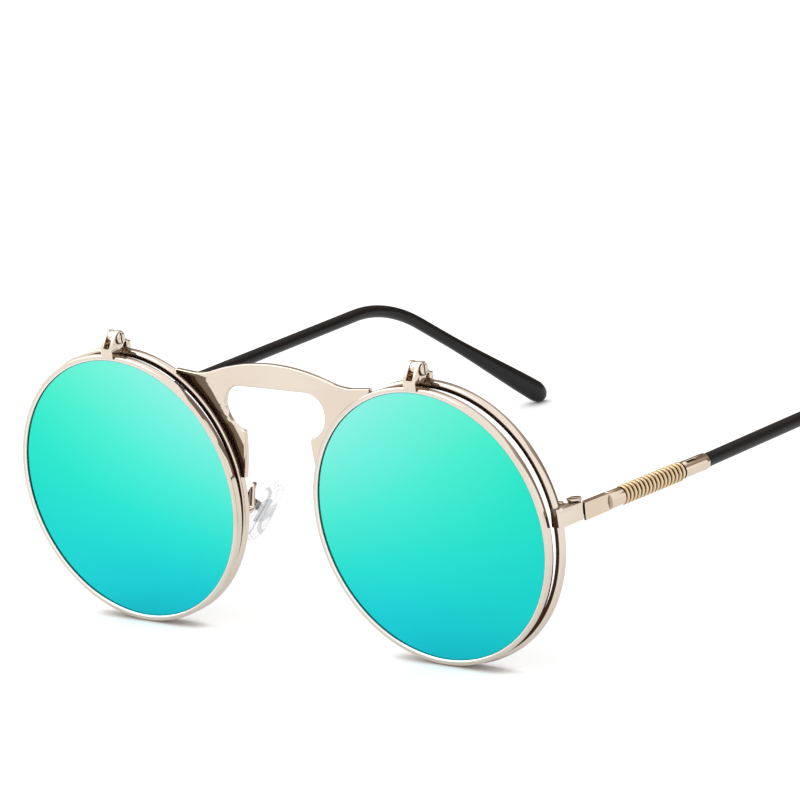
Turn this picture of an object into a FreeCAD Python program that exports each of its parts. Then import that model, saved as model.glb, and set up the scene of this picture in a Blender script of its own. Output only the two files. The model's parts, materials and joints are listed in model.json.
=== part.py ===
import FreeCAD, Part
import math
import os

# Round flip up sunglasses with sprung temples, in millimetres.
# Working frame: X to the wearer's left, Y to the back, Z up, y = 0 on the front of the rims
# and z = 0 at the lens centres. The finished glasses are then stood on a table.

# Lenses and rims
rim_spacing = 68.9
flip_inset = 0.6
lens_view_radius = 24.0
lens_thickness = 0.7
lens_dome = 0.45
lens_seat = 0.45
rim_lip = 1.3
rim_depth = 1.6
rim_edge_round = 0.4
rim_slit = 0.16
flip_lip = 1.0
flip_depth = 1.6
flip_edge_round = 0.45

# Clearances
seat_gap = 0.02
groove_gap = 0.05
pin_gap = 0.04
hinge_gap = 0.06
swing_gap = 0.13
closed_gap = 0.12
lock_gap = 0.1
tip_gap = 0.1

# Keyhole bridge, a plate that takes its outline from the rims
bridge_thickness = 0.9
bridge_setback = 0.45
bridge_edge_round = 0.16
bridge_tip_inset = 12.75
bridge_tip_height = 0.69
bridge_tip_rise = 0.36
bridge_tip_run = 4.2
bridge_dip = 2.9
bridge_waist_radius = 14.25
bridge_leg_z = 3.7
bridge_leg_width = 0.9
bridge_leg_bow = 0.25
tooth_drop = 4.55
tooth_width = 4.95
keyhole_web = 4.45
keyhole_crown = 4.45
keyhole_corner = 3.75

# Flip hinge above each lens
flip_axis_forward = 0.98
flip_axis_rise = 2.38
flip_ring_forward = 0.8
knuckle_width = 1.2
knuckle_radius = 1.33
ear_thickness = 0.65
ear_radius = 1.4
yoke_front = 0.3
yoke_overlap = 0.5
yoke_rise = 1.35
lug_thickness = 1.05
leaf_rise = 1.4
flip_screw_radius = 0.5
flip_head_radius = 1.05
flip_head_height = 0.35
head_slot_width = 0.3
head_slot_depth = 0.2

# End piece and temple hinge
hinge_inset = 0.15
hinge_y = 5.1
hinge_z = 3.28
hinge_lean = 2.0
ear_round = 1.1
hinge_knuckle = 1.1
knuckle_web = 1.65
end_top = 5.2
end_bottom = 2.0
end_taper = 0.2
end_lap = 0.35
end_corner_out = 0.75
end_corner_round = 0.85
end_inset = 0.6
temple_parting = 0.65
hinge_screw_radius = 0.5
hinge_head_radius = 1.3
hinge_head_height = 0.35

# Lock that closes the split rim
lock_width = 1.3
lock_reach = 1.8
lock_screw_radius = 0.4
lock_head_radius = 0.65
lock_head_height = 0.4

# Temple, along its own line from the hinge end of the bar
bar_out = 1.0
bar_start_y = 5.45
bar_splay = 4.36
bar_drop = 1.4
bar_thickness = 1.3
bar_start_height = 3.05
bar_end_height = 2.95
bar_length = 6.8
boss_radius = 1.55
boss_length = 2.95
boss_lap = 0.4
boss_edge = 0.15
spring_length = 16.5
ferrule_length = 6.75
ferrule_radius = 1.5
ferrule_end_round = 0.375
ferrule_slot_length = 4.0
ferrule_slot_width = 0.5
ferrule_slot_depth = 0.35
ferrule_slot_turn = 25.0
core_radius = 0.8
socket_depth = 2.0

# Temple spring
spring_outer_radius = 1.72
spring_wire = 0.6
spring_turns = 12
spring_lead_in = 0.82

# Temple tip
tip_radius = 1.25
tip_splay = 1.52
tip_drop = 1.6
tip_straight = 75.45
tip_bend_radius = 30.0
tip_reach = 38.6
tip_fall = 29.9
tip_inset = 8.4
paddle_length = 32.0
paddle_half_height = 2.2
paddle_half_width = 1.45
paddle_round = 3.6
paddle_steps = 5
paddle_last_step = 4.6
core_end_margin = 14.0

# Nose pads
pad_behind_rim = 1.35
pad_back = 6.6
pad_drop = 4.5
pad_up = FreeCAD.Vector(-0.5, 0.33, 0.8)
pad_facing = FreeCAD.Vector(-0.86, 0.084, -0.51)
pad_thickness = 2.1
pad_upper_radius = 2.7
pad_lower_radius = 3.4
pad_upper_offset = 3.2
pad_lower_offset = 2.6
pad_round = 0.9
pad_screw_depth = 2.1
insert_plate = 0.6
insert_half_width = 1.2
insert_half_length = 2.2
stem_half_width = 0.55
stem_round = 0.6
box_wall = 0.5
box_half_length = 0.75
box_mouth = 0.3
pad_screw_radius = 0.35
pad_head_radius = 0.6
pad_head_height = 0.3
pad_arm_radius = 0.5
arm_foot_drop = 3.0
arm_straight = 1.4
arm_rise = 3.4
arm_loop = FreeCAD.Vector(-1.0, -2.0, 0.1)

rim_x = rim_spacing / 2
flip_x = rim_x - flip_inset
rim_radius = lens_view_radius + rim_lip
rim_seat = rim_radius + seat_gap
rim_outside = rim_x + rim_radius
hinge_x = rim_outside - hinge_inset
end_corner_x = rim_outside + end_corner_out
end_inner_x = rim_outside - end_inset
bar_start_x = rim_outside + bar_out
pad_centre = FreeCAD.Vector(rim_x - rim_radius + pad_behind_rim, pad_back, -pad_drop)
flip_radius = lens_view_radius + flip_lip
flip_axis_z = rim_radius + flip_axis_rise
bar_base = FreeCAD.Vector(bar_start_x, bar_start_y, hinge_z)
hinge_centre = FreeCAD.Vector(hinge_x, hinge_y, hinge_z)
core_start = bar_length + boss_length - socket_depth
spring_start = bar_length + boss_length
ferrule_start = spring_start + spring_length
temple_metal = ferrule_start + ferrule_length
origin = FreeCAD.Vector(0, 0, 0)
x_axis = FreeCAD.Vector(1, 0, 0)
y_axis = FreeCAD.Vector(0, 1, 0)
z_axis = FreeCAD.Vector(0, 0, 1)


def vec(x, y, z):
    return FreeCAD.Vector(x, y, z)


def block(x0, x1, y0, y1, z0, z1):
    return Part.makeBox(x1 - x0, y1 - y0, z1 - z0, vec(x0, y0, z0))


def rod(radius, start, end):
    return Part.makeCylinder(radius, (end - start).Length, start, end - start)


def line(a, b):
    return Part.LineSegment(a, b).toShape()


def arc(a, middle, b):
    return Part.Arc(a, middle, b).toShape()


def solid_from(edges, push):
    """Close flat edges into a face and push it out into a solid."""
    return Part.Face(Part.Wire(edges)).extrude(push)


def polygon_x(points, x0, x1):
    """Prism along X of a closed (y, z) outline."""
    corners = [vec(x0, y, z) for y, z in points]
    return Part.Face(Part.makePolygon(corners + corners[:1])).extrude(vec(x1 - x0, 0, 0))


def polygon_z(points, z0, z1):
    """Prism along Z of a closed (x, y) outline."""
    corners = [vec(x, y, z0) for x, y in points]
    return Part.Face(Part.makePolygon(corners + corners[:1])).extrude(vec(0, 0, z1 - z0))


def round_edges(shape, radius, wanted):
    return shape.makeFillet(radius, [edge for edge in shape.Edges if wanted(edge)])


def mirrored(shape):
    return shape.mirror(origin, x_axis)


def unit(vector):
    return vec(vector.x, vector.y, vector.z).normalize()


def tangent_point(point, centre, radius, turn):
    """Where the tangent from a (y, z) point touches a circle, on the side given by turn."""
    across = centre[0] - point[0]
    up = centre[1] - point[1]
    distance = math.hypot(across, up)
    angle = math.atan2(up, across) + turn * math.asin(radius / distance)
    reach = math.sqrt(distance ** 2 - radius ** 2)
    return point[0] + reach * math.cos(angle), point[1] + reach * math.sin(angle)


def rounded_path(points, radius):
    """Straight runs joined by tangent arcs of one radius."""
    edges = []
    start = points[0]
    for before, corner, after in zip(points, points[1:], points[2:]):
        inward = unit(before - corner)
        outward = unit(after - corner)
        half = inward.getAngle(outward) / 2
        run = radius / math.tan(half)
        inner = corner + inward * run
        outer = corner + outward * run
        sag = radius / math.sin(half) - radius
        edges.append(line(start, inner))
        edges.append(arc(inner, corner + unit(inward + outward) * sag, outer))
        start = outer
    edges.append(line(start, points[-1]))
    return edges


def tube(edges, radius):
    """Round tube along a path that starts with a straight run."""
    start = edges[0].valueAt(edges[0].FirstParameter)
    heading = edges[0].tangentAt(edges[0].FirstParameter)
    profile = Part.Wire(Part.Circle(start, heading, radius).toShape())
    return Part.Wire(edges).makePipeShell([profile], True, False)


def eye_ring(outer, depth, edge_round):
    """Ring around the Y axis with its front at y = 0 and a groove for the lens edge."""
    ring = Part.makeCylinder(outer, depth, origin, y_axis)
    ring = ring.cut(Part.makeCylinder(lens_view_radius, depth, origin, y_axis))
    groove = lens_thickness + 2 * groove_gap
    groove_base = vec(0, (depth - groove) / 2, 0)
    ring = ring.cut(Part.makeCylinder(lens_view_radius + lens_seat + groove_gap, groove, groove_base, y_axis))
    return round_edges(ring, edge_round, lambda edge: edge.Length > 2 * math.pi * (outer - 0.01))


def domed_lens(depth):
    """Round lens that bulges forward and sits in the groove of an eye ring of this depth."""
    edge = lens_view_radius + lens_seat
    crown = (depth - lens_thickness) / 2 - lens_dome
    curve = (edge ** 2 + lens_dome ** 2) / (2 * lens_dome)
    blank = Part.makeCylinder(edge, lens_dome + lens_thickness, vec(0, crown, 0), y_axis)
    front = Part.makeSphere(curve, vec(0, crown + curve, 0))
    back = Part.makeSphere(curve, vec(0, crown + lens_thickness + curve, 0))
    return blank.common(front).cut(back)


def at_rim(shape):
    return shape.translated(vec(rim_x, 0, 0))


def at_flip(shape):
    return shape.translated(vec(flip_x, 0, 0))


def rim():
    ring = at_rim(eye_ring(rim_radius, rim_depth, rim_edge_round))
    slit = block(rim_x, rim_x + rim_radius, 0, rim_depth, hinge_z - rim_slit / 2, hinge_z + rim_slit / 2)
    return ring.cut(slit)


def rim_envelope():
    """Solid drum of the rim with the seating gap, to cut what is brazed to it."""
    drum = Part.makeCylinder(rim_seat, rim_depth + 2 * seat_gap, vec(0, -seat_gap, 0), y_axis)
    return at_rim(drum)


def rim_edge(z):
    """Where the nose side of a rim lies at a height."""
    return rim_x - math.sqrt(rim_seat ** 2 - z ** 2)


def bridge():
    tip_x = rim_x - bridge_tip_inset
    tip_z = math.sqrt(rim_seat ** 2 - bridge_tip_inset ** 2) + bridge_tip_height
    waist_x = tip_x - bridge_tip_run
    waist_z = tip_z - bridge_tip_rise
    crown_z = waist_z + bridge_dip
    turn = 2 * math.atan(bridge_dip / waist_x)
    crown_radius = waist_x / math.sin(turn) - bridge_waist_radius

    def crown(angle):
        drop = crown_radius * (1 - math.cos(angle))
        return vec(crown_radius * math.sin(angle), 0, crown_z - drop)

    def waist(angle):
        rise = bridge_waist_radius * (1 - math.cos(angle))
        return vec(waist_x - bridge_waist_radius * math.sin(angle), 0, waist_z + rise)

    def on_rim(angle):
        return vec(rim_x + rim_seat * math.cos(angle), 0, rim_seat * math.sin(angle))

    tip = vec(tip_x, 0, tip_z)
    tip_angle = math.acos(-bridge_tip_inset / rim_seat)
    leg_angle = math.pi - math.asin(bridge_leg_z / rim_seat)
    top_z = crown_z - keyhole_crown
    side_z = top_z - keyhole_corner
    tooth_z = side_z - tooth_drop
    half_width = rim_edge(side_z) - keyhole_web
    side = vec(half_width, 0, side_z)
    tooth = vec(rim_edge(tooth_z) - tooth_width, 0, tooth_z)
    leg = vec(rim_edge(bridge_leg_z) - bridge_leg_width, 0, bridge_leg_z)
    leg_middle = (leg + tooth) / 2 - vec(bridge_leg_bow, 0, 0)
    inset = half_width - tooth.x
    side_radius = (inset ** 2 + tooth_drop ** 2) / (2 * inset)
    side_angle = math.asin(tooth_drop / side_radius) / 2
    side_middle = side - vec(side_radius * (1 - math.cos(side_angle)), 0, side_radius * math.sin(side_angle))
    corner_middle = side + vec(-keyhole_corner * (1 - math.sqrt(0.5)), 0, keyhole_corner * math.sqrt(0.5))
    corner_top = vec(half_width - keyhole_corner, 0, top_z)
    edges = [
        arc(crown(0), crown(turn / 2), crown(turn)),
        arc(waist(turn), waist(turn / 2), waist(0)),
        line(waist(0), tip),
        line(tip, on_rim(tip_angle)),
        arc(on_rim(tip_angle), on_rim((tip_angle + leg_angle) / 2), on_rim(leg_angle)),
        line(on_rim(leg_angle), leg),
        arc(leg, leg_middle, tooth),
        arc(tooth, side_middle, side),
        arc(side, corner_middle, corner_top),
        line(corner_top, vec(0, 0, top_z)),
        line(vec(0, 0, top_z), crown(0)),
    ]
    half = solid_from(edges, vec(0, bridge_thickness, 0))
    plate = half.fuse(mirrored(half)).removeSplitter()
    front = lambda edge: edge.BoundBox.YMax < 0.001
    plate = round_edges(plate, bridge_edge_round, front)
    return plate.translated(vec(0, bridge_setback, 0))


def leaned(shape):
    """Lean a piece of the temple hinge inwards, so that a folded temple falls towards its tip."""
    shape = shape.copy()
    shape.rotate(hinge_centre, y_axis, -hinge_lean)
    return shape


def hinge_drum(radius, below, above):
    """Drum around the leaning temple hinge axis, measured from the middle of the hinge."""
    drum = Part.makeCylinder(radius, below + above, hinge_centre - z_axis * below)
    return leaned(drum)


def end_piece():
    """Brazed around the rim with a lap in front, bent back, with two ears for the temple hinge."""
    back = bar_start_y - temple_parting
    inside = rim_x + lens_view_radius
    outside = bar_start_x + bar_thickness / 2
    plan = [
        (inside, -end_lap),
        (end_corner_x, -end_lap),
        (outside, back),
        (hinge_x, back),
        (end_inner_x, hinge_y - ear_round / 2),
        (end_inner_x, rim_depth),
        (inside, rim_depth),
    ]

    def at_corner(edge):
        box = edge.BoundBox
        return box.XLength < 0.01 and abs(box.XMax - end_corner_x) < 0.01 and box.ZLength > 1

    body = round_edges(polygon_z(plan, end_bottom, end_top), end_corner_round, at_corner)
    body = body.cut(rim_envelope())
    height = end_top - end_bottom
    body = body.fuse(hinge_drum(ear_round, height, height)).removeSplitter()
    end_back = hinge_y + 2 * ear_round
    side = [
        (-end_lap, end_bottom),
        (-end_lap, end_top),
        (end_back, end_top),
        (end_back, end_bottom + end_taper),
    ]
    body = body.common(polygon_x(side, inside, outside))
    slot_half = hinge_knuckle / 2 + hinge_gap
    body = body.cut(hinge_drum(ear_round + swing_gap, slot_half, slot_half))
    return body.cut(hinge_drum(hinge_screw_radius + seat_gap, height, height))


def slotted_head(radius, height):
    """Screw head on z = 0 with a straight slot."""
    head = Part.makeCylinder(radius, height)
    slot = block(-radius, radius, -head_slot_width / 2, head_slot_width / 2, height - head_slot_depth, height)
    return head.cut(slot)


def hinge_screw():
    top = end_top + seat_gap + hinge_head_radius * math.sin(math.radians(hinge_lean)) - hinge_z
    bottom = hinge_z - end_bottom - end_taper
    head = slotted_head(hinge_head_radius, hinge_head_height)
    head = leaned(head.translated(hinge_centre + z_axis * top))
    return head.fuse(hinge_drum(hinge_screw_radius, bottom, top)).removeSplitter()


def lock_span(z0, z1):
    outer = end_inner_x - lock_gap
    front = rim_depth + seat_gap
    body = block(outer - lock_width, outer, front, front + lock_reach, z0, z1)
    return body.cut(lock_shank(lock_screw_radius + seat_gap))


def lock_shank(radius):
    x = end_inner_x - lock_gap - lock_width / 2
    y = rim_depth + seat_gap + lock_reach / 2
    return rod(radius, vec(x, y, end_bottom), vec(x, y, end_top))


def lock_screw():
    shank = lock_shank(lock_screw_radius)
    seat = shank.BoundBox.Center
    head = slotted_head(lock_head_radius, lock_head_height)
    head.translate(vec(seat.x, seat.y, end_top))
    return shank.fuse(head).removeSplitter()


def flip_lug():
    """Leaf that stands on the rim, with a narrower arm forward to the middle knuckle."""
    axis = (-flip_axis_forward, flip_axis_z)
    foot = rim_radius - rim_lip / 2
    rear = rim_depth - seat_gap
    heel = rear - lug_thickness
    crest = rim_radius + leaf_rise
    half_leaf = knuckle_width / 2 + hinge_gap + ear_thickness
    half_arm = knuckle_width / 2
    leaf = block(-half_leaf, half_leaf, heel, rear, foot, crest)
    outline = [
        (heel, foot),
        (rear, foot),
        (rear, crest),
        tangent_point((rear, crest), axis, knuckle_radius, -1),
        axis,
        tangent_point((heel, rim_radius), axis, knuckle_radius, 1),
        (heel, rim_radius),
    ]
    arm = polygon_x(outline, -half_arm, half_arm)
    pivot = vec(0, *axis)
    side = vec(half_arm, 0, 0)
    barrel = rod(knuckle_radius, pivot - side, pivot + side)
    bore = rod(flip_screw_radius + pin_gap, pivot - side, pivot + side)
    lug = leaf.fuse(arm).fuse(barrel).removeSplitter().cut(bore)
    return at_flip(lug).cut(rim_envelope())


# Flip pieces are made around their hinge axis with the ring upright, then swung shut.
ring_centre_z = -(flip_axis_rise + rim_lip - flip_lip + flip_radius)
ring_front_y = -flip_ring_forward - flip_depth
ring_foot = flip_radius - ring_centre_z - flip_edge_round
closed_angle = math.degrees(math.asin((flip_axis_forward + flip_ring_forward - closed_gap) / ring_foot))


def swung_shut(shape):
    shape = shape.copy()
    shape.rotate(origin, x_axis, closed_angle)
    return at_flip(shape.translated(vec(0, -flip_axis_forward, flip_axis_z)))


def on_flip(shape):
    return swung_shut(shape.translated(vec(0, ring_front_y, ring_centre_z)))


def flip_yoke():
    """Tab on top of the flip ring with the two outer ears of the hinge."""
    ear_inner = knuckle_width / 2 + hinge_gap
    ear_outer = ear_inner + ear_thickness
    ring_top = ring_centre_z + flip_radius
    front = ring_front_y - yoke_front
    rear = ring_front_y + flip_depth
    tab = block(-ear_outer, ear_outer, front, rear, ring_top - yoke_overlap, ring_top + yoke_rise)
    envelope = Part.makeCylinder(flip_radius + seat_gap, flip_depth + 2 * seat_gap,
                                 vec(0, ring_front_y - seat_gap, ring_centre_z), y_axis)
    tab = tab.cut(envelope)
    low_front = (front, ring_top + 2 * seat_gap)
    high_front = (front, ring_top + yoke_rise)
    low_rear = (rear, ring_top + 2 * seat_gap)
    outline = [
        low_front,
        high_front,
        tangent_point(high_front, (0, 0), ear_radius, 1),
        (0, 0),
        tangent_point(low_rear, (0, 0), ear_radius, -1),
        low_rear,
    ]
    for inner in (-ear_outer, ear_inner):
        outer = inner + ear_thickness
        ear = polygon_x(outline, inner, outer).fuse(rod(ear_radius, vec(inner, 0, 0), vec(outer, 0, 0)))
        tab = tab.fuse(ear)
    clear = rod(knuckle_radius + swing_gap, vec(-ear_inner, 0, 0), vec(ear_inner, 0, 0))
    bore = rod(flip_screw_radius + seat_gap, vec(-ear_outer, 0, 0), vec(ear_outer, 0, 0))
    return swung_shut(tab.removeSplitter().cut(clear).cut(bore))


def flip_screw():
    half = knuckle_width / 2 + hinge_gap + ear_thickness
    head = slotted_head(flip_head_radius, flip_head_height)
    head.rotate(origin, y_axis, 90)
    head.translate(vec(half + seat_gap, 0, 0))
    shank = rod(flip_screw_radius, vec(-half, 0, 0), vec(half + seat_gap, 0, 0))
    return swung_shut(shank.fuse(head).removeSplitter())


def on_temple(shape):
    """Lay a piece made along +Y onto the line of the temple."""
    shape = shape.copy()
    shape.rotate(origin, x_axis, -bar_drop)
    shape.rotate(origin, z_axis, -bar_splay)
    return shape.translated(bar_base)


def heading(splay, drop):
    turn = FreeCAD.Rotation(z_axis, -splay).multiply(FreeCAD.Rotation(x_axis, -drop))
    return turn.multVec(y_axis)


tip_start = bar_base + heading(bar_splay, bar_drop) * temple_metal
tip_bend = tip_start + heading(tip_splay, tip_drop) * tip_straight
tip_end = tip_bend + vec(-tip_inset, tip_reach, -tip_fall)


def temple_bar():
    """Flat bar with the hinge knuckle in front and a round boss behind that stands out of its faces."""
    half = bar_start_height / 2
    end_half = bar_end_height / 2
    outline = [(0, -half), (0, half), (bar_length, end_half), (bar_length, -end_half)]
    bar = polygon_x(outline, -bar_thickness / 2, bar_thickness / 2)
    shoulder = bar_length - boss_lap
    boss = Part.makeCylinder(boss_radius, boss_length + boss_lap, vec(0, shoulder, 0), y_axis)
    front_edge = [edge for edge in boss.Edges if edge.BoundBox.YMax < shoulder + 0.01]
    bar = bar.fuse(boss.makeChamfer(boss_edge, front_edge))
    bar = bar.cut(Part.makeCylinder(core_radius + seat_gap, socket_depth, vec(0, core_start, 0), y_axis))
    bar = on_temple(bar)
    bar = bar.cut(hinge_drum(hinge_head_radius + swing_gap, bar_start_height, bar_start_height))
    half_knuckle = hinge_knuckle / 2
    low = hinge_z - half_knuckle
    outer = bar_start_x + bar_thickness / 4
    web = block(hinge_x, outer, bar_start_y, hinge_y + knuckle_web, low, low + hinge_knuckle)
    bar = bar.fuse(leaned(web)).fuse(hinge_drum(ear_round, half_knuckle, half_knuckle)).removeSplitter()
    return bar.cut(hinge_drum(hinge_screw_radius + pin_gap, half_knuckle, half_knuckle))


def biarc(start, start_way, end, end_way):
    """Two tangent arcs between two points with given directions, as their points."""
    across = end - start
    ways = start_way + end_way
    spread = 4 - ways.dot(ways)
    mixed = across.dot(ways)
    reach = (math.sqrt(mixed ** 2 + spread * across.dot(across)) - mixed) / spread
    first = start + start_way * reach
    second = end - end_way * reach
    joint = (first + second) / 2
    arcs = []
    for a, control, b in ((start, first, joint), (joint, second, end)):
        middle = (a + b) / 2
        lean = math.atan2((control - middle).Length, (b - a).Length / 2)
        arcs.append((a, middle + (control - middle) * (math.tan(lean / 2) / math.tan(lean)), b))
    return arcs


def spring_path():
    """Edges of the spring's centre line along +Y: straight end, turns of biarcs, straight end."""
    radius = spring_outer_radius - spring_wire / 2
    first = spring_wire + spring_lead_in
    pitch = (spring_length - 2 * first) / spring_turns
    swing = spring_lead_in / radius

    def point(angle):
        return vec(radius * math.cos(angle), first + pitch * angle / (2 * math.pi), radius * math.sin(angle))

    def way(angle):
        return unit(vec(-radius * math.sin(angle), pitch / (2 * math.pi), radius * math.cos(angle)))

    quarter = math.pi / 2
    last = spring_turns * 2 * math.pi
    entry = vec(radius * math.cos(-swing), spring_wire, radius * math.sin(-swing))
    leave = vec(radius * math.cos(last + swing), spring_length - spring_wire, radius * math.sin(last + swing))
    arcs = biarc(entry, y_axis, point(0), way(0))
    for step in range(spring_turns * 4):
        begin = step * quarter
        arcs += biarc(point(begin), way(begin), point(begin + quarter), way(begin + quarter))
    arcs += biarc(point(last), way(last), leave, y_axis)
    edges = [line(vec(entry.x, seat_gap, entry.z), entry)]
    edges += [arc(*three) for three in arcs]
    edges.append(line(leave, vec(leave.x, spring_length - seat_gap, leave.z)))
    return edges


def least_gap(edges, wire, apart):
    """Least gap of a wound tube to itself, on points more than a given length apart along it."""
    points = []
    travelled = 0.0
    for edge in edges:
        samples = edge.discretize(5)[:-1]
        points += [(travelled + edge.Length * i / 4, sample) for i, sample in enumerate(samples)]
        travelled += edge.Length
    gaps = []
    for i, (here, a) in enumerate(points):
        gaps += [a.distanceToPoint(b) for there, b in points[i + 1:] if there - here > apart]
    return min(gaps) - wire


def temple_spring(place):
    return place(tube(spring_path(), spring_wire / 2).translated(vec(0, spring_start, 0)))


def ferrule():
    body = Part.makeCylinder(ferrule_radius, ferrule_length - seat_gap, vec(0, ferrule_start, 0), y_axis)
    middle = ferrule_start + ferrule_length / 2

    def at_far_end(edge):
        return edge.BoundBox.YMin > middle and edge.BoundBox.YLength < 0.01

    body = round_edges(body, ferrule_end_round, at_far_end)
    slot = block(-ferrule_slot_width / 2, ferrule_slot_width / 2, middle - ferrule_slot_length / 2,
                 middle + ferrule_slot_length / 2, ferrule_radius - ferrule_slot_depth, ferrule_radius)
    slot.rotate(origin, y_axis, ferrule_slot_turn)
    body = body.cut(slot)
    bore = Part.makeCylinder(core_radius + seat_gap, ferrule_length, vec(0, ferrule_start, 0), y_axis)
    return on_temple(body.cut(bore))


def core_path(margin):
    start = bar_base + heading(bar_splay, bar_drop) * core_start
    end = tip_end - unit(tip_end - tip_bend) * margin
    return rounded_path([start, tip_start, tip_bend, end], tip_bend_radius)


def core_wire():
    return tube(core_path(core_end_margin), core_radius)


def paddle_section(along, axis, base):
    """Outline of the widening end of the tip at a distance from its start."""
    share = along / paddle_length
    swell = share * share * (3 - 2 * share)
    half_height = tip_radius + (paddle_half_height - tip_radius) * swell
    half_width = tip_radius + (paddle_half_width - tip_radius) * swell
    past = max(0.0, along - (paddle_length - paddle_round)) / paddle_round
    shrink = math.sqrt(1 - past ** 2)
    centre = base + axis * along
    side = unit(axis.cross(z_axis))
    upright = side.cross(axis)
    if along == 0:
        ring = Part.Circle(centre, axis, tip_radius)
        ring.AngleXU = math.atan2(upright.dot(ring.YAxis), upright.dot(ring.XAxis))
        return Part.Wire(ring.toShape())
    tall = centre + upright * half_height * shrink
    wide = centre + side * half_width * shrink
    return Part.Wire(Part.Ellipse(tall, wide, centre).toShape())


def temple_tip():
    axis = unit(tip_end - tip_bend)
    base = tip_end - axis * paddle_length
    lead = heading(tip_splay, tip_drop) * tip_gap
    sleeve = tube(rounded_path([tip_start + lead, tip_bend, base], tip_bend_radius), tip_radius)
    straight = paddle_length - paddle_round
    stops = [straight * step / paddle_steps for step in range(paddle_steps + 1)]
    for step in [*range(1, paddle_steps), paddle_last_step]:
        stops.append(straight + paddle_round * math.sin(math.pi / 2 * step / paddle_steps))
    paddle = Part.makeLoft([paddle_section(stop, axis, base) for stop in stops], True, True)
    tip = sleeve.fuse(paddle)
    return tip.cut(tube(core_path(core_end_margin - 2 * seat_gap), core_radius + groove_gap))


def on_pad(shape):
    """Place a piece made around the pad: X out of its face, Y across it, Z up its length."""
    across = pad_up.cross(pad_facing)
    turn = FreeCAD.Rotation(unit(pad_facing), unit(across), unit(pad_up), "XZY")
    shape = shape.copy()
    shape.Placement = FreeCAD.Placement(pad_centre, turn).multiply(shape.Placement)
    return shape


def insert_solid():
    """Plate inside the pad with a stem to the pad screw."""
    back = -pad_thickness / 2 + insert_plate
    plate = block(back, back + insert_plate, -insert_half_width, insert_half_width,
                  -insert_half_length, insert_half_length)
    stem = block(-pad_screw_depth, back, -stem_half_width, stem_half_width, -stem_round, stem_round)
    eye = rod(stem_round, vec(-pad_screw_depth, -stem_half_width, 0),
              vec(-pad_screw_depth, stem_half_width, 0))
    return plate.fuse(stem).fuse(eye).removeSplitter()


def pad_insert():
    bore = rod(pad_screw_radius + pin_gap, vec(-pad_screw_depth, -stem_half_width, 0),
               vec(-pad_screw_depth, stem_half_width, 0))
    return on_pad(insert_solid().cut(bore))


def nose_pad():
    """Drop shaped slab with rounded edges, hollowed for its insert."""
    back = -pad_thickness / 2
    upper = (0, pad_upper_offset)
    lower = (0, -pad_lower_offset)
    lean = math.asin((pad_lower_radius - pad_upper_radius) / (pad_upper_offset + pad_lower_offset))
    sides = []
    for sign in (1, -1):
        reach = vec(0, sign * math.cos(lean), math.sin(lean))
        upper_touch = vec(back, *upper) + reach * pad_upper_radius
        lower_touch = vec(back, *lower) + reach * pad_lower_radius
        sides.append([upper_touch, lower_touch])
    (upper_left, lower_left), (upper_right, lower_right) = sides
    edges = [
        arc(upper_left, vec(back, 0, pad_upper_offset + pad_upper_radius), upper_right),
        line(upper_right, lower_right),
        arc(lower_right, vec(back, 0, -pad_lower_offset - pad_lower_radius), lower_left),
        line(lower_left, upper_left),
    ]
    slab = solid_from(edges, vec(pad_thickness, 0, 0))
    slab = round_edges(slab, pad_round, lambda edge: edge.BoundBox.XLength < 0.001)
    return on_pad(slab.cut(insert_solid()))


def pad_box():
    """Clip with two cheeks either side of the insert's stem."""
    inner = stem_half_width + hinge_gap
    outer = inner + box_wall
    floor = -pad_screw_depth - stem_round - swing_gap
    mouth = -pad_thickness / 2 - box_mouth
    shell = block(floor - box_wall, mouth, -outer, outer, -box_half_length, box_half_length)
    hollow = block(floor, mouth, -inner, inner, -box_half_length, box_half_length)
    bore = rod(pad_screw_radius + seat_gap, vec(-pad_screw_depth, -outer, 0), vec(-pad_screw_depth, outer, 0))
    return on_pad(shell.cut(hollow).cut(bore))


def pad_screw():
    outer = stem_half_width + hinge_gap + box_wall
    shank = rod(pad_screw_radius, vec(-pad_screw_depth, -outer, 0),
                vec(-pad_screw_depth, outer + seat_gap, 0))
    head = slotted_head(pad_head_radius, pad_head_height)
    head.rotate(origin, x_axis, -90)
    head.translate(vec(-pad_screw_depth, outer + seat_gap, 0))
    return on_pad(shank.fuse(head).removeSplitter())


def pad_arm():
    """Wire from the back of the rim, up and over in a loop, then down along the back of the pad box."""
    facing = unit(pad_facing)
    rise = unit(facing.cross(pad_up.cross(facing)))
    box_back = pad_screw_depth + stem_round + swing_gap + box_wall
    seat = pad_centre - facing * (box_back + seat_gap + pad_arm_radius)
    rim_middle = (rim_radius + lens_view_radius) / 2
    foot_x = rim_x - math.sqrt(rim_middle ** 2 - arm_foot_drop ** 2)
    foot = vec(foot_x, rim_depth + seat_gap, -arm_foot_drop)
    over = seat + rise * arm_rise
    points = [foot, foot + vec(0, arm_straight, 0), over + arm_loop, over, seat - rise * box_half_length]
    return tube(rounded_path(points, 2 * pad_arm_radius), pad_arm_radius)


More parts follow.
